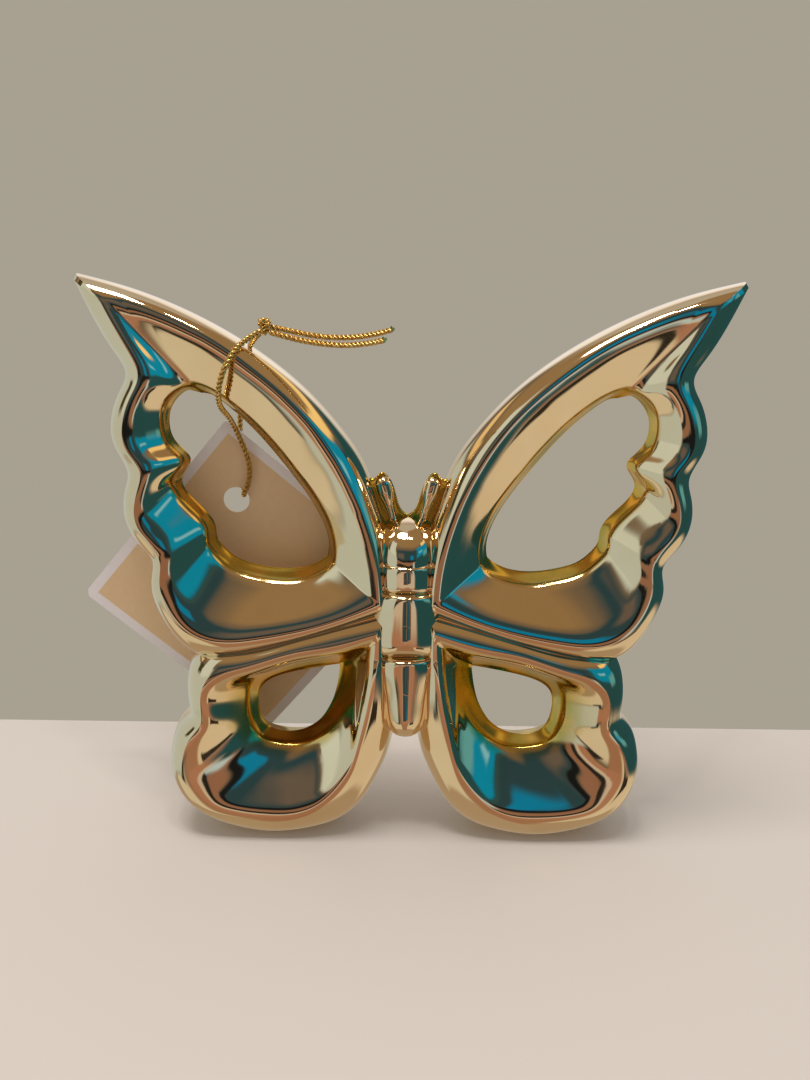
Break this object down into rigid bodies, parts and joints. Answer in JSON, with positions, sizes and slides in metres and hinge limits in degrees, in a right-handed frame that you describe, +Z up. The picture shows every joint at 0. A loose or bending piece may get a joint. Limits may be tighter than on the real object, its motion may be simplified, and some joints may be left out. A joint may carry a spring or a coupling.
{
  "type": "butterfly ornament",
  "caption": "Standing butterfly ornament with rounded scalloped wings, a pierced window in each wing, a jointed-looking body and a square card tag hung on a knotted cord.",
  "frame": {"origin": "middle of the ground face, half way through the thickness", "axes": "+X along the wing span to the right of the front view, +Y towards the back where the tag hangs, +Z up"},
  "size_m": [0.151, 0.0325, 0.1297],
  "materials": {
    "plated_ceramic": "mirror-bright champagne gold lustre over a smooth glaze",
    "card": "thin matt card with a paler printed border",
    "metallic_cord": "twisted metallic gold thread"
  },
  "bodies": {
    "ornament": {"forewing_left": "plated_ceramic", "forewing_right": "plated_ceramic", "hindwing_left": "plated_ceramic", "hindwing_right": "plated_ceramic", "head": "plated_ceramic", "collar": "plated_ceramic", "thorax": "plated_ceramic", "abdomen": "plated_ceramic", "antenna_left": "plated_ceramic", "antenna_right": "plated_ceramic", "tag_cord_loop": "metallic_cord", "tag_cord_end_upper": "metallic_cord", "tag_cord_end_lower": "metallic_cord", "cord_knot": "metallic_cord"},
    "tag": {"hang_tag": "card"}
  },
  "joints": [
    {"name": "tag_swing", "type": "hinge", "parent": "ornament", "child": "tag", "pos_m": [-0.03895, 0.0101, 0.07955], "axis": [0, -0.9978, -0.0665], "range_deg": [-60, 60]}
  ]
}
